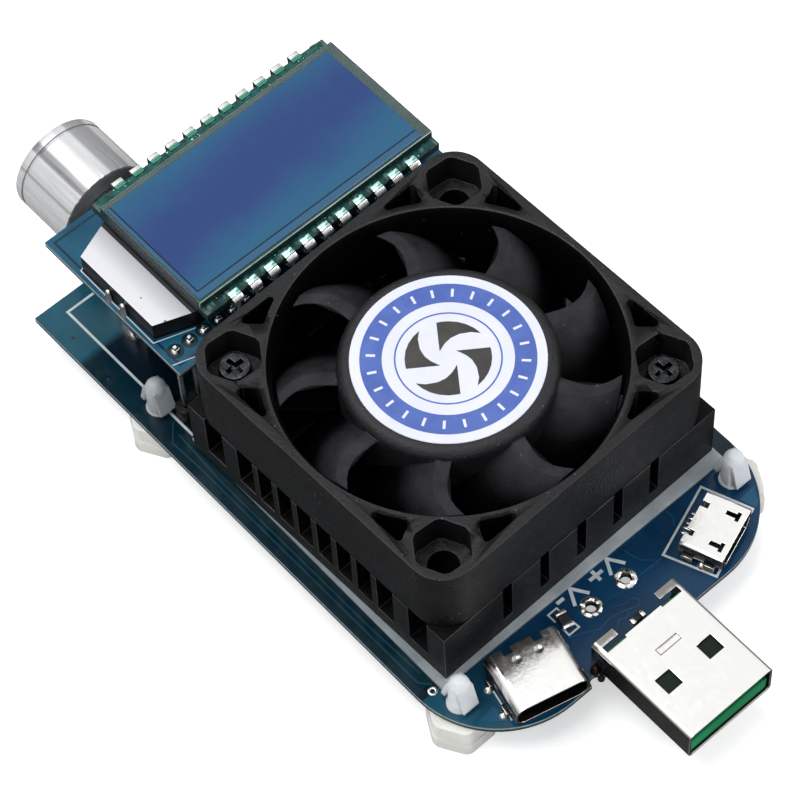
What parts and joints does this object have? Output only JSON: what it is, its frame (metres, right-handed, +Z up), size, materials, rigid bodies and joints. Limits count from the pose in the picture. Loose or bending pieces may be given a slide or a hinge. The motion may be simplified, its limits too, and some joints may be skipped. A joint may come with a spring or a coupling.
{
  "type": "dc electronic load",
  "caption": "Pocket electronic load: board on snap-in feet with a finned heatsink and fan, raised segment display, encoder knob, USB plug, two sockets and wire terminals.",
  "frame": {"origin": "middle of the overall box, on the plane of the four feet", "axes": "+Y from the USB plug to the knob, +Z up through the fan, +X to the right seen from behind the plug"},
  "size_m": [0.0476, 0.1006, 0.0242],
  "materials": {
    "board_blue": "glossy solder mask over glass fibre",
    "tin": "bright tin",
    "nylon": "milky satin",
    "pad_grey": "soft matt",
    "anodised_black": "matt black anodised",
    "fan_black": "satin moulded",
    "screw_black": "black oxide",
    "board_green": "solder mask",
    "lamination": "stacked sheet",
    "copper": "enamelled wire",
    "bronze": "sintered",
    "ferrite": "bonded ferrite",
    "steel": "plated",
    "label": "printed vinyl",
    "wire_red": "satin insulation",
    "wire_black": "satin insulation",
    "cream_plastic": "moulded",
    "black_plastic": "moulded",
    "black_film": "tape",
    "white_plastic": "diffusing",
    "rear_film": "reflective film",
    "glass": "clear, ground edge",
    "display_blue": "polarising film",
    "resin_green": "cured resin",
    "knob_aluminium": "brushed with a polished lip",
    "nickel": "bright nickel plate",
    "green_plastic": "moulded",
    "gold": "gold flash",
    "chip_black": "moulded",
    "ceramic_brown": "fired ceramic"
  },
  "bodies": {
    "base": {"main_board": "board_blue", "terminal_eyelets": "tin", "snap_feet": "nylon", "thermal_pad": "pad_grey", "heatsink": "anodised_black", "fan_frame": "fan_black", "fan_screws": "screw_black", "fan_motor_board": "board_green", "fan_stator_core": "lamination", "fan_windings": "copper", "fan_bearing": "bronze", "fan_lead_red": "wire_red", "fan_lead_black": "wire_black", "fan_lead_socket": "cream_plastic", "display_board": "board_blue", "header_strip": "black_plastic", "header_pins": "tin", "backlight_film": "black_film", "backlight_plate": "white_plastic", "backlight_leads": "tin", "lcd_rear_film": "rear_film", "lcd_rear_glass": "glass", "lcd_front_glass": "glass", "lcd_front_film": "display_blue", "lcd_clips_near": "tin", "lcd_clips_far": "tin", "lcd_clip_resin": "resin_green", "encoder_case": "steel", "encoder_bushing": "steel", "encoder_pins": "tin", "usb_plug_shell": "nickel", "usb_plug_tongue": "green_plastic", "usb_plug_contacts": "gold", "reversible_socket_shell": "nickel", "reversible_socket_tongue": "black_plastic", "micro_socket_shell": "nickel", "micro_socket_tongue": "black_plastic", "chip_parts_top": "chip_black", "power_transistor": "chip_black", "shunt_resistor": "chip_black", "controller_chip": "chip_black", "amplifier_chip": "chip_black", "regulator_chip": "chip_black", "chip_parts_under": "ceramic_brown"},
    "rotor": {"fan_rotor": "fan_black", "rotor_magnet": "ferrite", "rotor_shaft": "steel", "hub_label": "label"},
    "push": {"encoder_plunger": "black_plastic"},
    "dial": {"encoder_shaft": "steel", "knob": "knob_aluminium"}
  },
  "joints": [
    {"name": "fan_spin", "type": "hinge", "parent": "base", "child": "rotor", "pos_m": [0, -0.00605, 0.0192], "axis": [0, 0, 1], "continuous": true},
    {"name": "knob_push", "type": "slide", "parent": "base", "child": "push", "axis": [0, -1, 0], "range_m": [0, 0.0005], "stiffness_N_per_m": 3000},
    {"name": "knob_turn", "type": "hinge", "parent": "push", "child": "dial", "pos_m": [-0.0097, 0.04495, 0.0114], "axis": [0, 1, 0], "continuous": true}
  ]
}
